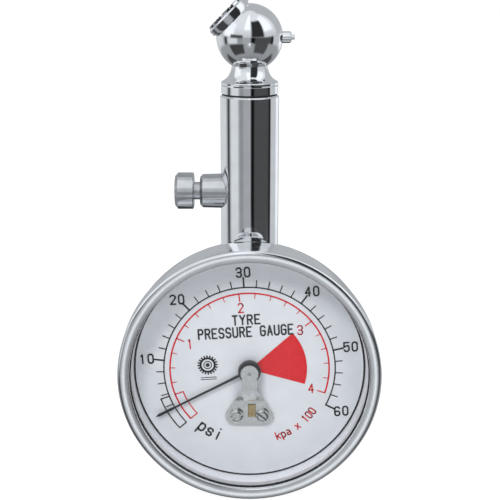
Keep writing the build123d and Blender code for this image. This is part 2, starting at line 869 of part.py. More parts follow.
with BuildPart() as release_plunger:
    turn_ring(button_turn, 0, rod_radius, disc_low, neck_inner_end)
    turn_ring(button_turn, 0, spring_chamber - running_gap, neck_inner_end, knob_low - press_gap)
    turn_ring(button_turn, 0, knob_spigot, knob_low - press_gap, knob_bore_depth - 0.1)
release_plunger.part.label = "release_plunger"
export_step(release_plunger.part, "parts/release_plunger.step")

with BuildPart() as release_knob:
    turn(
        button_turn,
        [
            (0, knob_low),
            (knob_radius - 0.2, knob_low),
            (knob_radius, knob_low + 0.2),
            (knob_radius, knob_high - knob_edge),
            (knob_radius - knob_edge, knob_high - 0.1),
            (knob_radius - knob_edge - 0.8, knob_high),
            (0, knob_high),
        ],
    )
    turn_ring(button_turn, 0, knob_spigot + press_gap, knob_low, knob_bore_depth, mode=Mode.SUBTRACT)
release_knob.part.label = "release_knob"
export_step(release_knob.part, "parts/release_knob.step")

with BuildPart() as release_disc:
    turn_ring(button_turn, rod_radius + press_gap, 2.0, disc_low, disc_high)
release_disc.part.label = "release_disc"
export_step(release_disc.part, "parts/release_disc.step")

with BuildPart() as release_seal:
    turn_ring(button_turn, rod_radius + press_gap, 1.9, disc_high + press_gap, boss_inner_end - 0.15)
release_seal.part.label = "release_seal"
export_step(release_seal.part, "parts/release_seal.step")

release_wire = 0.2
release_coil = 1.4
release_coil_low = spring_floor + release_wire + press_gap
release_coil_length = neck_inner_end - spring_floor - 2 * (release_wire + press_gap)

with BuildPart() as release_spring:
    with BuildLine():
        coil = Helix(
            pitch=0.62,
            height=release_coil_length,
            radius=release_coil,
            center=button_centre + Vector(-release_coil_low, 0, 0),
            direction=(-1, 0, 0),
        )
    with BuildSketch(Plane(origin=coil @ 0, z_dir=coil % 0)):
        Circle(release_wire)
    sweep()
release_spring.part.label = "release_spring"
export_step(release_spring.part, "parts/release_spring.step")

# ------------------------------------------------------------------ check valve
seat_lip_radius = 2.6
seat_low = spigot_low - 0.6
poppet_radius = 3.4
poppet_low = 50.9
poppet_high = 51.85
poppet_stem = 0.9
poppet_foot = 44.2
cage_low = 43.9
cage_high = 45.4
check_wire = 0.25
check_coil = 2.3

with BuildPart() as check_poppet:
    turn_ring(stem_turn, 0, poppet_radius, poppet_low, poppet_high)
    turn_ring(stem_turn, 0, poppet_stem, poppet_foot, poppet_low)
check_poppet.part.label = "check_poppet"
export_step(check_poppet.part, "parts/check_poppet.step")

with BuildPart() as poppet_seal:
    turn_ring(stem_turn, 0, poppet_radius - 0.4, poppet_high + press_gap, seat_low - 0.1)
poppet_seal.part.label = "poppet_seal"
export_step(poppet_seal.part, "parts/poppet_seal.step")

with BuildPart() as check_cage:
    turn_ring(stem_turn, poppet_stem + running_gap, stem_bore - press_gap, cage_low, cage_high)
    with BuildSketch(Plane(origin=stem_foot).offset(cage_low)) as flow_holes:
        with PolarLocations(3.45, 6):
            Circle(0.6)
    extrude(flow_holes.sketch, amount=cage_high - cage_low, mode=Mode.SUBTRACT)
check_cage.part.label = "check_cage"
export_step(check_cage.part, "parts/check_cage.step")

check_coil_low = cage_high + check_wire + press_gap
check_coil_length = poppet_low - cage_high - 2 * (check_wire + press_gap)

with BuildPart() as check_spring:
    with BuildLine():
        long_coil = Helix(
            pitch=1.0,
            height=check_coil_length,
            radius=check_coil,
            center=stem_foot + Vector(0, 0, check_coil_low),
            direction=(0, 0, 1),
        )
    with BuildSketch(Plane(origin=long_coil @ 0, z_dir=long_coil % 0)):
        Circle(check_wire)
    sweep()
check_spring.part.label = "check_spring"
export_step(check_spring.part, "parts/check_spring.step")

# ------------------------------------------------------------------ chuck
collar_low = stem_top + washer_thickness
groove_height = collar_top - 0.75
groove_half = 0.15
neck_top = ball_over_dial - (ball_radius**2 - neck_radius**2) ** 0.5
neck_bearing = degrees(acos(neck_radius / ball_radius))
cavity_floor = 0.8
flange_edge = 0.35
nub_foot = 5.6
nub_shoulder = 8.9
nub_end = 9.6
nub_radius = 1.25
nub_tip_radius = 0.53

with BuildPart() as chuck_body:
    with BuildSketch(stem_section):
        with BuildLine():
            Polyline(
                (0, ball_over_dial + ball_radius),
                (0, seat_low),
                (seat_lip_radius, seat_low),
                (seat_lip_radius, spigot_low),
                (spigot_radius, spigot_low),
                (spigot_radius, collar_low),
                (collar_radius, collar_low),
                (collar_radius, groove_height - groove_half),
                (collar_radius - groove_half, groove_height),
                (collar_radius, groove_height + groove_half),
                (collar_radius, collar_top - 0.2),
                (collar_radius - 0.2, collar_top),
            )
            Spline(
                (collar_radius - 0.2, collar_top),
                (neck_radius, neck_top),
                tangents=((-1, 0.45), (-0.1, 1)),
            )
            CenterArc((0, ball_over_dial), ball_radius, -neck_bearing, 90 + neck_bearing)
        make_face()
    revolve(axis=stem_axis)
    turn(
        mouth_turn,
        [
            (0, flange_low - 1),
            (flange_radius - 0.3, flange_low - 1),
            (flange_radius - 0.3, flange_low),
            (flange_radius, flange_low),
            (flange_radius, mouth_height - flange_edge),
            (flange_radius - flange_edge, mouth_height),
            (0, mouth_height),
        ],
    )
    turn_ring(mouth_turn, 0, bush_radius + press_gap, cavity_floor, ball_radius + 1, mode=Mode.SUBTRACT)
    turn_ring(stem_turn, 0, air_bore, 0, ball_over_dial + air_bore + 0.2, mode=Mode.SUBTRACT)
    turn_ring(nub_turn, 0, nub_radius + press_gap, nub_foot - 0.1, ball_radius + 1, mode=Mode.SUBTRACT)
chuck_body.part.label = "chuck_body"
export_step(chuck_body.part, "parts/chuck_body.step")

# The bush screws into the ball and clamps the seal. A pin spanner fits the rim's notches.
bush_bore_low = 3.2
bush_relief = 4.35

with BuildPart() as valve_bush:
    turn_ring(mouth_turn, valve_bore, bush_radius, bush_low, mouth_height + rim_height)
    turn_ring(mouth_turn, 0, bush_relief, bush_low, bush_bore_low, mode=Mode.SUBTRACT)
    rim_plane = Plane(
        origin=ball_centre, x_dir=(mouth_z, 0, -mouth_x), z_dir=(mouth_x, 0, mouth_z)
    ).offset(mouth_height)
    with BuildSketch(rim_plane) as notches:
        with PolarLocations((valve_bore + bush_radius) / 2, rim_notches):
            Rectangle(1.2, 0.55)
    extrude(notches.sketch, amount=rim_height, mode=Mode.SUBTRACT)
valve_bush.part.label = "valve_bush"
export_step(valve_bush.part, "parts/valve_bush.step")

seal_low = 1.4

with BuildPart() as chuck_seal:
    turn_ring(mouth_turn, 1.9, bush_radius - press_gap, seal_low, bush_low - press_gap)
chuck_seal.part.label = "chuck_seal"
export_step(chuck_seal.part, "parts/chuck_seal.step")

pin_radius = 0.7
pin_base_radius = 2.6
pin_high = bush_bore_low - 0.05

with BuildPart() as depressor_pin:
    turn(
        mouth_turn,
        [
            (0, cavity_floor + press_gap),
            (pin_base_radius, cavity_floor + press_gap),
            (pin_base_radius, seal_low - press_gap),
            (pin_radius, seal_low - press_gap),
            (pin_radius, pin_high - 0.2),
            (pin_radius - 0.2, pin_high),
            (0, pin_high),
        ],
    )
    base_plane = Plane(
        origin=ball_centre, x_dir=(mouth_z, 0, -mouth_x), z_dir=(mouth_x, 0, mouth_z)
    ).offset(cavity_floor)
    with BuildSketch(base_plane) as base_holes:
        with PolarLocations(1.4, 4):
            Circle(0.4)
    extrude(base_holes.sketch, amount=seal_low - cavity_floor, mode=Mode.SUBTRACT)
depressor_pin.part.label = "depressor_pin"
export_step(depressor_pin.part, "parts/depressor_pin.step")

# The nub opposite the mouth lets a little air out of a tyre when it is pushed on the valve.
with BuildPart() as deflator_nub:
    turn(
        nub_turn,
        [
            (0, nub_foot),
            (nub_radius, nub_foot),
            (nub_radius, nub_shoulder - 0.3),
            (nub_radius - 0.3, nub_shoulder),
            (nub_tip_radius, nub_shoulder),
            (nub_tip_radius, nub_end - 0.1),
            (nub_tip_radius - 0.1, nub_end),
            (0, nub_end),
        ],
    )
deflator_nub.part.label = "deflator_nub"
export_step(deflator_nub.part, "parts/deflator_nub.step")
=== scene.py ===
import json
from math import atan2, cos, pi, radians, sin
import bmesh
import bpy
from mathutils import Matrix, Vector


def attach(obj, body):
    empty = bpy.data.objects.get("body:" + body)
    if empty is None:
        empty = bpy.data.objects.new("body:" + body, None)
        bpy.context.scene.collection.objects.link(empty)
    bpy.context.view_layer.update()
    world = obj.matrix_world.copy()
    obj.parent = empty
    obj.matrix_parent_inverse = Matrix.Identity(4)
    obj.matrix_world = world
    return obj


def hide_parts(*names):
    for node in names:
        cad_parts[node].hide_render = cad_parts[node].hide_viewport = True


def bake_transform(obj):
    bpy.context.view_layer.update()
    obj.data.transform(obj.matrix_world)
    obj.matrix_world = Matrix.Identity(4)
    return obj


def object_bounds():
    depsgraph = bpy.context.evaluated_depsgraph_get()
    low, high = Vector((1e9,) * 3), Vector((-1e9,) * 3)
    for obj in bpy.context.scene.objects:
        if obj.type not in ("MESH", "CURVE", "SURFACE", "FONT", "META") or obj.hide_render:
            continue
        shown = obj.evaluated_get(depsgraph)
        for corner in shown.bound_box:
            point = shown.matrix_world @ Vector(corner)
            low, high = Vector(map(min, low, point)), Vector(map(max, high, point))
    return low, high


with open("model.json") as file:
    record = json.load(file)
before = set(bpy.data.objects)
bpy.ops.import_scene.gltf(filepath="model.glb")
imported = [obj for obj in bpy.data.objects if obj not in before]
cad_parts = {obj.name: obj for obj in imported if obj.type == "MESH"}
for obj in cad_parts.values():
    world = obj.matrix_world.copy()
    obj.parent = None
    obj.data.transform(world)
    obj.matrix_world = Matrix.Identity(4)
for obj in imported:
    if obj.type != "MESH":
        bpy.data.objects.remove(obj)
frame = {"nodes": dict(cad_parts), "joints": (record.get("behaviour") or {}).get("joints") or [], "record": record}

# A dial tyre gauge seen from a little above. All lengths are metres in the CAD frame.
cad_box = [list(corner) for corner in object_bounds()]
mm = 0.001
joints = {joint["name"]: joint for joint in frame["joints"]}
dial_centre = Vector(joints["needle_turn"]["pos_m"])


# ------------------------------------------------------------------ node helpers
def place(tree, kind, inputs=None, **settings):
    """Add a node, set its properties, and set or link its inputs."""
    node = tree.nodes.new("ShaderNode" + kind)
    for key, value in settings.items():
        setattr(node, key, value)
    for key, value in (inputs or {}).items():
        if isinstance(value, bpy.types.NodeSocket):
            tree.links.new(value, node.inputs[key])
        else:
            node.inputs[key].default_value = value
    return node


def math(tree, operation, first, second=0.0):
    return place(tree, "Math", {0: first, 1: second}, operation=operation).outputs[0]


def smooth_step(tree, value, low, high):
    """0 below low, 1 above high and smooth between them."""
    step = place(
        tree,
        "MapRange",
        {"Value": value, "From Min": low, "From Max": high},
        interpolation_type="SMOOTHSTEP",
    )
    return step.outputs["Result"]


def grey_to_linear(grey):
    """A screen grey of 0 to 255 as linear light."""
    share = grey / 255
    return share / 12.92 if share < 0.04 else ((share + 0.055) / 1.055) ** 2.4


def grey_ramp(tree, value, span, stops):
    """Colour ramp over a span of degrees, from (degree, screen grey) stops."""
    low, high = span
    position = place(
        tree, "MapRange", {"Value": value, "From Min": low, "From Max": high}
    ).outputs["Result"]
    node = place(tree, "ValToRGB", {"Fac": position})
    ramp = node.color_ramp
    while len(ramp.elements) < len(stops):
        ramp.elements.new(0.5)
    for element, (degree, grey) in zip(ramp.elements, stops):
        element.position = (degree - low) / (high - low)
    for element, (degree, grey) in zip(ramp.elements, stops):
        light = grey_to_linear(grey)
        element.color = (light, light, light, 1)
    return node.outputs["Color"]


# ------------------------------------------------------------------ studio
scene = bpy.context.scene
scene.view_settings.view_transform = "Standard"
scene.view_settings.look = "None"


dome_strength = 0.36  # even light on matt surfaces
mirror_strength = 1.15  # the room as mirrors see it
mirror_tint = (0.95, 0.99, 1.04, 1)  # a cool cast in the chrome

# Soft windows and dark screens, as (lowest turn, highest turn, lowest rise, highest rise,
# screen grey, softness), all in degrees but the grey. A later one lies over an earlier one.
# Those from -17 to 2 degrees of rise are the strip of wall that the upright stem mirrors.
soft_edge = 5.0
windows = [
    (-200, 200, -17, 2, 160, 3.0),  # pale wall all the way round
    (-160, -105, -17, 2, 205, 5.0),  # lighter wall behind, left
    (-97, -86, -17, 2, 60, 4.0),  # dark edge of the left window
    (-80, -45, -17, 2, 210, 6.0),  # wall lit by the left window
    (-40, -25, -17, 2, 140, 5.0),  # shaded wall beside it
    (5, 90, -17, 2, 70, 4.0),  # dark screen right of the camera
    (5, 20, -17, 2, 20, 4.0),  # its darker near end
    (80, 90, -17, 2, 30, 4.0),  # and its far end
    (92, 125, -17, 2, 190, 4.0),  # wall lit by the right window
    (125, 155, -17, 2, 240, 5.0),  # bright curtain behind, right
    (-100, -58, 4, 42, 245, soft_edge),  # left window
    (-20, 3, 28, 95, 255, soft_edge),  # overhead window
    (48, 92, 20, 66, 250, soft_edge),  # right window
    (6, 52, 2, 58, 44, soft_edge),  # dark screen right of the camera
    (18, 70, -50, -6, 72, soft_edge),  # dark table edge on the right
    (-78, -22, -52, -19, 62, 4.0),  # dark table edge on the left
    (-70, -24, 0, 10, 70, 4.0),  # dark wall under the left window
    (-9, 9, -31, -15, 172, 2.0),  # pale frame of the small lamp
    (5, 12, -27, -16, 135, 2.0),  # its shaded side
    (-3.0, 3.0, -24.5, -17, 250, 1.5),  # the lamp, a fine bright line round the bezel
    (108, 200, 2, 75, 175, soft_edge),  # plain wall behind the object, right
    (108, 200, -85, -36, 72, soft_edge),  # and its foot
    (-200, -108, 2, 75, 175, soft_edge),  # plain wall behind the object, left
    (-200, -108, -85, -36, 72, soft_edge),  # and its foot
]


def window(tree, azimuth, rise, base, edges):
    """The base colour with one soft-edged rectangle of plain grey over it."""
    turn_low, turn_high, rise_low, rise_high, grey, soft = edges
    sides = math(
        tree,
        "MULTIPLY",
        smooth_step(tree, azimuth, turn_low - soft, turn_low + soft),
        math(tree, "SUBTRACT", 1.0, smooth_step(tree, azimuth, turn_high - soft, turn_high + soft)),
    )
    ends = math(
        tree,
        "MULTIPLY",
        smooth_step(tree, rise, rise_low - soft, rise_low + soft),
        math(tree, "SUBTRACT", 1.0, smooth_step(tree, rise, rise_high - soft, rise_high + soft)),
    )
    inside = math(tree, "MULTIPLY", sides, ends)
    tone = grey_to_linear(grey)
    mixed = place(
        tree, "MixRGB", {"Fac": inside, "Color1": base, "Color2": (tone, tone, tone, 1)}
    )
    return mixed.outputs[0]


def build_world():
    """A photographer's room: a dark horizon band with tall soft windows over a pale table."""
    world = bpy.data.worlds.new("studio")
    scene.world = world
    world.use_nodes = True
    tree = world.node_tree
    tree.nodes.clear()
    direction = place(tree, "TexCoord").outputs["Generated"]
    axes = place(tree, "SeparateXYZ", {0: direction}).outputs
    toward_camera = math(tree, "MULTIPLY", axes["Y"], -1.0)
    turn = math(tree, "ARCTAN2", axes["X"], toward_camera)
    azimuth = math(tree, "MULTIPLY", turn, 180 / pi)
    rise = math(tree, "MULTIPLY", math(tree, "ARCSINE", axes["Z"]), 180 / pi)

    # Dark under the table's edge, a pale wall and a bright ceiling.
    light = grey_ramp(
        tree,
        rise,
        (-90, 90),
        [(-90, 90), (-60, 140), (-20, 150), (0, 190), (30, 220), (90, 220)],
    )
    for edges in windows:
        light = window(tree, azimuth, rise, light, edges)

    # The camera sees plain white, matt surfaces get even light, and only mirrors see the room.
    path = place(tree, "LightPath").outputs
    cool = place(
        tree,
        "MixRGB",
        {"Fac": 1.0, "Color1": light, "Color2": mirror_tint},
        blend_type="MULTIPLY",
    ).outputs[0]
    mirrored = place(tree, "Background", {"Color": cool, "Strength": mirror_strength})
    even = place(tree, "Background", {"Color": (1, 1, 1, 1), "Strength": dome_strength})
    plain = place(tree, "Background", {"Color": (1, 1, 1, 1), "Strength": 1.0})
    lit = place(
        tree,
        "MixShader",
        {0: path["Is Glossy Ray"], 1: even.outputs[0], 2: mirrored.outputs[0]},
    )
    mix = place(
        tree,
        "MixShader",
        {0: path["Is Camera Ray"], 1: lit.outputs[0], 2: plain.outputs[0]},
    )
    place(tree, "OutputWorld", {"Surface": mix.outputs[0]})


camera_turn, camera_rise = radians(0.16), radians(14.97)
camera_distance = 240 * mm
camera_target = dial_centre + Vector((0.1, 0, 27.18)) * mm
camera_sensor, camera_lens = 36, 80.82


def build_camera():
    """The photograph's view: a little above the dial's middle and almost straight on."""
    data = bpy.data.cameras.new("camera")
    camera = bpy.data.objects.new("camera", data)
    scene.collection.objects.link(camera)
    turn, rise = camera_turn, camera_rise
    back = Vector((sin(turn) * cos(rise), -cos(turn) * cos(rise), sin(rise)))
    right = Vector((cos(turn), sin(turn), 0))
    up = back.cross(right)
    facing = Matrix((right, up, back)).transposed().to_4x4()
    camera.matrix_world = Matrix.Translation(camera_target + back * camera_distance) @ facing
    data.sensor_width = camera_sensor
    data.lens = camera_lens
    data.clip_start, data.clip_end = 0.01, 20
    scene.camera = camera


def soft_light(name, turn, rise, distance, size, power):
    """A square soft box that faces the dial from a turn and a rise in degrees."""
    data = bpy.data.lights.new(name, "AREA")
    data.size = size
    data.energy = power
    lamp = bpy.data.objects.new(name, data)
    scene.collection.objects.link(lamp)
    a, e = radians(turn), radians(rise)
    toward = Vector((sin(a) * cos(e), -cos(a) * cos(e), sin(e)))
    lamp.location = dial_centre + toward * distance
    lamp.rotation_euler = toward.to_track_quat("Z", "Y").to_euler()
    lamp.visible_glossy = False


floor_half = 3.0
floor_gap = 0.1 * mm
floor_glow = 0.93


def build_floor():
    """A plain pale table, a hair under the object."""
    mesh = bpy.data.meshes.new("floor")
    half = floor_half
    level = cad_box[0][2] - floor_gap
    corners = [
        (-half, -half, level), (half, -half, level), (half, half, level), (-half, half, level),
    ]
    mesh.from_pydata(corners, [], [(0, 1, 2, 3)])
    floor = bpy.data.objects.new("floor", mesh)
    scene.collection.objects.link(floor)
    material = bpy.data.materials.new("floor")
    material.use_nodes = True
    tree = material.node_tree
    cloud = place(tree, "TexNoise", {"Scale": 3.0})
    shade = place(tree, "ValToRGB", {"Fac": cloud.outputs["Fac"]})
    shade.color_ramp.elements[0].color = (0.24, 0.24, 0.24, 1)
    shade.color_ramp.elements[1].color = (0.26, 0.26, 0.26, 1)
    shader = tree.nodes["Principled BSDF"]
    tree.links.new(shade.outputs["Color"], shader.inputs["Base Color"])
    # A light table: most of its brightness is its own, so shadows on it stay faint.
    shader.inputs["Emission Color"].default_value = (1, 1, 1, 1)
    shader.inputs["Emission Strength"].default_value = floor_glow
    shader.inputs["Roughness"].default_value = 0.9
    shader.inputs["Specular IOR Level"].default_value = 0.0
    mesh.materials.append(material)
    floor.visible_glossy = False


build_world()
build_camera()
build_floor()
light_distance, light_size = 0.8, 0.22
soft_light("key", -24, 48, light_distance, light_size, 3.9)
soft_light("second", 34, 42, light_distance, light_size, 1.5)


# ------------------------------------------------------------------ materials
def finish(name, dark, light, rough, metallic, grain, fine, bump, **fixed):
    """A surface whose colour and roughness drift with noise, with fine bumps.
    grain and fine are noise scales per metre; rough is (lowest, highest)."""
    material = bpy.data.materials.new(name)
    material.use_nodes = True
    tree = material.node_tree
    shader = tree.nodes["Principled BSDF"]
    where = place(tree, "TexCoord").outputs["Object"]
    patches = place(tree, "TexNoise", {"Vector": where, "Scale": grain, "Detail": 4.0})
    specks = place(tree, "TexNoise", {"Vector": where, "Scale": fine, "Detail": 6.0})
    colour = place(tree, "ValToRGB", {"Fac": patches.outputs["Fac"]})
    colour.color_ramp.elements[0].position = 0.3
    colour.color_ramp.elements[1].position = 0.7
    colour.color_ramp.elements[0].color = (*dark, 1)
    colour.color_ramp.elements[1].color = (*light, 1)
    tree.links.new(colour.outputs["Color"], shader.inputs["Base Color"])
    roughness = place(
        tree,
        "MapRange",
        {
            "Value": specks.outputs["Fac"],
            "From Min": 0.3,
            "From Max": 0.7,
            "To Min": rough[0],
            "To Max": rough[1],
        },
    )
    tree.links.new(roughness.outputs["Result"], shader.inputs["Roughness"])
    relief = place(
        tree, "Bump", {"Height": specks.outputs["Fac"], "Strength": bump, "Distance": 0.02 * mm}
    )
    tree.links.new(relief.outputs["Normal"], shader.inputs["Normal"])
    shader.inputs["Metallic"].default_value = metallic
    for socket, value in fixed.items():
        shader.inputs[socket.replace("_", " ")].default_value = value
    return material


def glass(name):
    """Clear flat glass: light goes straight through, and outer faces mirror by Fresnel."""
    material = bpy.data.materials.new(name)
    material.use_nodes = True
    tree = material.node_tree
    tree.nodes.remove(tree.nodes["Principled BSDF"])
    where = place(tree, "TexCoord").outputs["Object"]
    smears = place(tree, "TexNoise", {"Vector": where, "Scale": 260.0, "Detail": 5.0})
    roughness = place(
        tree,
        "MapRange",
        {
            "Value": smears.outputs["Fac"],
            "From Min": 0.35,
            "From Max": 0.7,
            "To Min": 0.0,
            "To Max": 0.06,
        },
    )
    mirror = place(tree, "BsdfGlossy", {"Roughness": roughness.outputs["Result"]})
    clear = place(tree, "BsdfTransparent", {"Color": (0.98, 0.98, 0.983, 1)})
    fresnel = place(tree, "Fresnel", {"IOR": 1.5}).outputs[0]
    outside = math(tree, "SUBTRACT", 1.0, place(tree, "NewGeometry").outputs["Backfacing"])
    share = math(tree, "MULTIPLY", fresnel, outside)
    mix = place(tree, "MixShader", {0: share, 1: clear.outputs[0], 2: mirror.outputs[0]})
    tree.links.new(mix.outputs[0], tree.nodes["Material Output"].inputs["Surface"])
    return material


# Each as (darkest colour, lightest colour, (lowest, highest roughness), metallic, grain,
# fine, bump).
settings = {
    "chrome_shell": (
        (0.83, 0.84, 0.85), (0.90, 0.91, 0.92), (0.03, 0.08), 1.0, 300, 6000, 0.05,
    ),
    "chrome_bezel": (
        (0.84, 0.85, 0.86), (0.91, 0.92, 0.93), (0.12, 0.17), 1.0, 300, 6000, 0.05,
    ),
    "chrome_stem": (
        (0.85, 0.86, 0.87), (0.92, 0.93, 0.94), (0.02, 0.06), 1.0, 400, 6000, 0.04,
    ),
    # Painted shade: a darker copy of the chrome, which dims the reflections on the release knob and boss.
    "shaded_chrome": (
        (0.52, 0.53, 0.54), (0.62, 0.63, 0.64), (0.05, 0.12), 1.0, 500, 6000, 0.08,
    ),
    "white_ring": (
        (0.74, 0.755, 0.80), (0.80, 0.815, 0.85), (0.35, 0.5), 0.0, 700, 9000, 0.2,
    ),
    "dial_paint": (
        (0.62, 0.65, 0.69), (0.66, 0.69, 0.73), (0.42, 0.58), 0.0, 250, 15000, 0.15,
    ),
    "nickel": (
        (0.74, 0.75, 0.72), (0.86, 0.87, 0.84), (0.12, 0.3), 1.0, 1500, 12000, 0.3,
    ),
    "steel": (
        (0.50, 0.50, 0.52), (0.66, 0.66, 0.68), (0.14, 0.32), 1.0, 1500, 12000, 0.3,
    ),
    "spring_steel": (
        (0.30, 0.30, 0.33), (0.46, 0.46, 0.49), (0.2, 0.4), 1.0, 1500, 12000, 0.3,
    ),
    "brass": (
        (0.62, 0.46, 0.20), (0.80, 0.63, 0.32), (0.18, 0.38), 1.0, 1200, 12000, 0.3,
    ),
    "bronze_strip": (
        (0.55, 0.32, 0.16), (0.74, 0.47, 0.26), (0.2, 0.4), 1.0, 1200, 12000, 0.3,
    ),
    "black_rubber": (
        (0.012, 0.012, 0.013), (0.03, 0.03, 0.032), (0.6, 0.85), 0.0, 1500, 14000, 0.5,
    ),
    "black_enamel": (
        (0.008, 0.008, 0.009), (0.02, 0.02, 0.022), (0.25, 0.4), 0.0, 1500, 12000, 0.2,
    ),
}
finishes = {name: finish(name, *values) for name, values in settings.items()}
finishes["lens_glass"] = glass("lens_glass")
black_ink = finish(
    "black_ink",
    (0.012, 0.014, 0.016), (0.03, 0.032, 0.036), (0.5, 0.7), 0.0, 1500, 15000, 0.2,
)
red_ink = finish(
    "red_ink",
    (0.56, 0.008, 0.012), (0.64, 0.014, 0.020), (0.45, 0.65), 0.0, 1200, 15000, 0.2,
    Specular_IOR_Level=0.1,
)

shaded_chrome_parts = ("release_knob", "release_boss")  # painted shade: these two get a darker copy of the chrome, to dim their reflections
slots = {row["node"]: row["material_slot"] for row in frame["record"]["subparts"]}
for name, node in frame["nodes"].items():
    node.data.materials.clear()
    look = "shaded_chrome" if name in shaded_chrome_parts else slots[name]
    node.data.materials.append(finishes[look])


# ------------------------------------------------------------------ smooth bezel
def bezel_outline():
    """Half section of the bezel as (radius, height over the dial's face), mm.
    It repeats the CAD bezel's section."""
    radius, crest = 28.5, 6.12
    crest_radius, roll = 27.7, 0.8
    lip_radius, lip_height, lip_round = 25.9, 5.7, 0.3
    inside_radius, hem, low, underside = 27.93, 0.2, 1.0, 4.9
    lip_steps, face_steps, roll_steps = 9, 12, 15
    points = [(lip_radius, underside)]
    for step in range(lip_steps + 1):
        a = radians(180 - step * 90 / lip_steps)
        across, up = lip_round * cos(a), lip_round * sin(a)
        points.append((lip_radius + lip_round + across, lip_height + up))
    # The face rises from the lip's edge and levels off at the crest.
    start, end, slope = lip_radius + lip_round, crest_radius, 0.15
    for step in range(face_steps + 1):
        t = step / face_steps
        blend = (t**3 - 2 * t**2 + t) * slope * (end - start)
        climb = 3 * t**2 - 2 * t**3
        height = (lip_height + lip_round) * (1 - climb) + crest * climb + blend
        points.append((start + (end - start) * t, height))
    for step in range(1, roll_steps + 1):
        a = radians(90 - step * 90 / roll_steps)
        points.append((crest_radius + roll * cos(a), crest - roll + roll * sin(a)))
    points += [(radius, low + hem), (radius - hem, low)]
    points += [(inside_radius, low), (inside_radius, underside)]
    return points


sharp_angle = radians(28)


def revolve_about_dial(name, outline, count=360):
    """A ring turned about the dial's axis, smooth but for its sharp edges."""
    shape = bmesh.new()
    rings = []
    for step in range(count):
        a = 2 * pi * step / count
        ring = []
        for distance, height in outline:
            offset = Vector((distance * cos(a), -height, distance * sin(a))) * mm
            ring.append(shape.verts.new(dial_centre + offset))
        rings.append(ring)
    size = len(outline)
    for step in range(count):
        here, there = rings[step], rings[(step + 1) % count]
        for i in range(size):
            j = (i + 1) % size
            shape.faces.new((here[i], here[j], there[j], there[i])).smooth = True
    bmesh.ops.recalc_face_normals(shape, faces=shape.faces)
    for edge in shape.edges:
        edge.smooth = edge.calc_face_angle() < sharp_angle
    data = bpy.data.meshes.new(name)
    shape.to_mesh(data)
    shape.free()
    piece = bpy.data.objects.new(name, data)
    scene.collection.objects.link(piece)
    return piece


smooth_bezel = revolve_about_dial("smooth_bezel", bezel_outline())
smooth_bezel.data.materials.append(finishes["chrome_bezel"])
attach(smooth_bezel, "gauge_body")
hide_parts("bezel")


# ------------------------------------------------------------------ springs and tube, copied as they stand
def flexing_copy(node_name):
    """A still copy of a CAD part, put in place of the part, which is hidden."""
    piece = bpy.data.objects.new(node_name + "_flexing", frame["nodes"][node_name].data.copy())
    scene.collection.objects.link(piece)
    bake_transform(piece)
    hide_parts(node_name)


# The button's spring (pressed from the left) and the poppet's spring (pressed from above), copied as they stand.
flexing_copy(
    "release_spring"
)
flexing_copy(
    "check_spring"
)
# The Bourdon tube, copied as it stands; on the real gauge its right half stays still, its left half uncurls and
# its tip stays in the end piece.
flexing_copy("bourdon_tube")


# ------------------------------------------------------------------ printed dial
dial_turn = 3.7  # the whole print sits a little anticlockwise, degrees
print_height = 0.05 * mm
print_body = "gauge_body"


class Print:
    """One ink on the dial, as thin flat shapes drawn in the dial's own millimetres."""

    def __init__(self, name, material, slot):
        self.mesh = bmesh.new()
        self.name, self.material, self.slot = name, material, slot

    def shape(self, points):
        """A filled outline of (x, y) points."""
        turned = Matrix.Rotation(radians(dial_turn), 2)
        corners = []
        for x, y in points:
            flat = turned @ Vector((x, y))
            corners.append(dial_centre + Vector((flat.x * mm, -print_height, flat.y * mm)))
        self.mesh.faces.new([self.mesh.verts.new(corner) for corner in corners])

    def line(self, start, end, width):
        """A straight stroke with rounded ends."""
        along = Vector(end) - Vector(start)
        angle = atan2(along.y, along.x)
        points = []
        for centre, first in ((end, -90), (start, 90)):
            for step in range(7):
                a = angle + radians(first + step * 30)
                points.append((centre[0] + cos(a) * width / 2, centre[1] + sin(a) * width / 2))
        self.shape(points)

    def arc(self, radius, start, end, width, step=1.5):
        """A band of an arc between two angles in degrees."""
        count = max(1, round(abs(end - start) / step))
        angles = [radians(start + (end - start) * i / count) for i in range(count + 1)]
        for a, b in zip(angles, angles[1:]):
            low, high = radius - width / 2, radius + width / 2
            corners = ((low, a), (high, a), (high, b), (low, b))
            self.shape([(reach * cos(angle), reach * sin(angle)) for reach, angle in corners])

    def tick(self, angle, inner, outer, width):
        a = radians(angle)
        self.line((inner * cos(a), inner * sin(a)), (outer * cos(a), outer * sin(a)), width)

    def words(self, text, centre, height, width, stroke, turn=0.0, spacing=1.0, bend=0.0):
        """Draw text in plain strokes, each letter width x height, about its centre.
        A bend radius sets the letters along an arc about the dial's centre."""
        pitch = width + spacing
        shift = -(len(text) - 1) / 2
        for place_in_word, letter in enumerate(text):
            strokes, drop = letters[letter]
            along = (shift + place_in_word) * pitch
            if bend:
                base_angle = radians(turn) + along / bend
                middle = Vector((bend * sin(base_angle), -bend * cos(base_angle)))
                spin = Matrix.Rotation(base_angle, 2)
            else:
                spin = Matrix.Rotation(radians(turn), 2)
                middle = Vector(centre) + spin @ Vector((along, 0))
            for row in strokes.split("/"):
                points = []
                for pair in row.split():
                    x = (int(pair[0]) - 2) / 4 * width
                    y = (int(pair[1]) - 3 - drop) / 6 * height
                    points.append(middle + spin @ Vector((x, y)))
                for a, b in zip(points, points[1:]):
                    self.line(a, b, stroke)

    def done(self):
        data = bpy.data.meshes.new(self.name)
        bmesh.ops.recalc_face_normals(self.mesh, faces=self.mesh.faces)
        self.mesh.to_mesh(data)
        self.mesh.free()
        data.materials.append(self.material)
        piece = bpy.data.objects.new(self.name, data)
        scene.collection.objects.link(piece)
        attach(piece, print_body)
        return piece


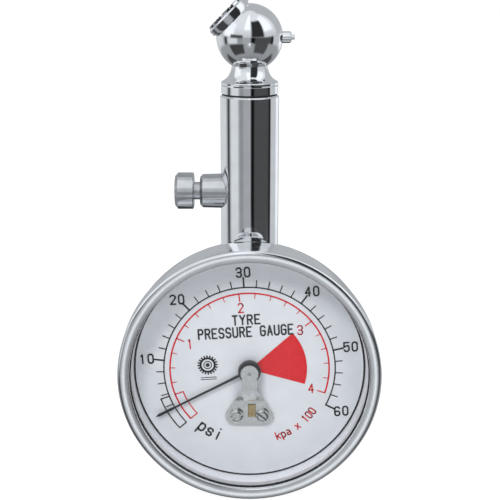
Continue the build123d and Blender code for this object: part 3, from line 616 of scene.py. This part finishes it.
# Plain single-stroke lettering: each pair of digits is a point on a grid 4 wide and 6 high,
# strokes are parted by "/", and the last number lowers the letter by grid rows.
letters = {
    "0": ("10 30 41 45 36 16 05 01 10", 0),
    "1": ("15 26 20", 0),
    "2": ("05 16 36 45 44 00 40", 0),
    "3": ("05 16 36 45 44 33 13/33 42 41 30 10 01", 0),
    "4": ("30 36 02 42", 0),
    "5": ("46 06 03 34 43 41 30 10 01", 0),
    "6": ("45 36 16 05 01 10 30 41 42 33 13 02", 0),
    "T": ("06 46/26 20", 0),
    "Y": ("06 23 46/23 20", 0),
    "R": ("00 06 36 45 44 33 03/23 40", 0),
    "E": ("40 00 06 46/03 33", 0),
    "P": ("00 06 36 45 44 33 03", 0),
    "S": ("45 36 16 05 04 13 33 42 41 30 10 01", 0),
    "U": ("06 01 10 30 41 46", 0),
    "G": ("45 36 16 05 01 10 30 41 43 23", 0),
    "A": ("00 26 40/12 32", 0),
    "k": ("06 00/44 02/13 40", 0),
    "p": ("00 06/05 16 36 45 43 32 12 03", 2),
    "s": ("43 34 14 03 12 32 41 30 10 01", 0),
    "i": ("24 20/26 26", 0),
    "a": ("14 34 43 40/42 12 01 10 40", 0),
    "x": ("04 40/00 44", 0),
    " ": ("", 0),
}

psi_zero, psi_turn = 210.0, 4.0  # the dial's own angle at 0 psi, and degrees for each psi
psi_top = 60
psi_per_bar = 14.5
bar_top = 4
scale_radius = 18.85
red_radius = 17.5
box_start, box_end = -14, 8  # the empty box before each scale, degrees from its zero
box_height = 2.0
red_box_height = 1.9
fine_line = 0.30


def psi_angle(psi):
    return psi_zero - psi * psi_turn


def polar(radius, angle):
    return (radius * cos(angle), radius * sin(angle))


# The outer scale. The numbers lie on an oval that is a little wider than it is high.
number_wide, number_high = 22.75, 22.25
black = Print("dial_print_black", black_ink, "black_enamel")
black.arc(scale_radius, psi_angle(0) + box_end, psi_angle(psi_top), fine_line)
for psi in range(2, psi_top + 2, 2):
    major = psi % 10 == 0
    length, width = (2.2, 0.38) if major else (1.6, 0.24)
    black.tick(psi_angle(psi), scale_radius, scale_radius + length, width)
    if major:
        a = radians(psi_angle(psi))
        middle = (number_wide * cos(a), number_high * sin(a))
        black.words(str(psi), middle, 2.0, 1.05, 0.36, spacing=0.75)
box_top = scale_radius + box_height
black.arc(box_top, psi_angle(0) + box_start, psi_angle(0) + box_end, fine_line)
for end in (box_start, box_end):
    black.tick(psi_angle(0) + end, scale_radius, box_top, fine_line)
black.words("TYRE", (0.0, 11.5), 2.05, 1.0, 0.38, spacing=0.62)
black.words("PRESSURE GAUGE", (-0.3, 8.75), 2.15, 0.95, 0.38, spacing=0.56)
black.words("psi", (0, 0), 2.6, 1.25, 0.42, turn=-34.7, spacing=0.75, bend=16.9)

# A plain tyre with tread blocks, and two rules under it.
tyre = Vector((-9.13, 1.6))
tread_inner, tread_outer, tread_width, tread_blocks = 1.75, 2.1, 0.36, 20
rule_half, rule_width = 1.7, 0.16
for step in range(tread_blocks):
    out = Vector(polar(1, radians(step * 360 / tread_blocks)))
    black.line(tyre + out * tread_inner, tyre + out * tread_outer, tread_width)
for radius, width in ((1.55, 0.42), (0.85, 0.2), (0.25, 0.4)):
    circle = [tyre + Vector(polar(radius, radians(turn))) for turn in range(0, 361, 12)]
    for a, b in zip(circle, circle[1:]):
        black.line(a, b, width)
for drop in (2.9, 3.35):
    black.line(tyre - Vector((rule_half, drop)), tyre + Vector((rule_half, -drop)), rule_width)
black.done()

# The inner scale, and the red zone from the needle's hub.
red_number_radius = 14.3
zone_radius, zone_start, zone_sweep, zone_steps = 12.65, -19.4, 57.7, 40
red = Print("dial_print_red", red_ink, "dial_paint")
red.arc(red_radius, psi_angle(0) + box_end, psi_angle(bar_top * psi_per_bar), 0.34)
for fifth in range(2, bar_top * 5 + 1):
    angle = psi_angle(fifth * psi_per_bar / 5)
    major = fifth % 5 == 0
    length, width = (1.7, 0.26) if major else (1.1, 0.18)
    red.tick(angle, red_radius - length, red_radius, width)
    if major:
        middle = polar(red_number_radius, radians(angle))
        red.words(str(fifth // 5), middle, 2.0, 1.0, fine_line)
red_box = red_radius - red_box_height
red.arc(red_box, psi_angle(0) + box_start, psi_angle(0) + box_end, 0.26)
for end in (box_start, box_end):
    red.tick(psi_angle(0) + end, red_box, red_radius, 0.26)
zone = [radians(zone_start + zone_sweep * i / zone_steps) for i in range(zone_steps + 1)]
red.shape([(0.0, 0.0)] + [polar(zone_radius, a) for a in zone])
red.words("kpa x 100", (0, 0), 1.7, 0.8, fine_line, turn=34.7, spacing=0.42, bend=17.0)
red.done()
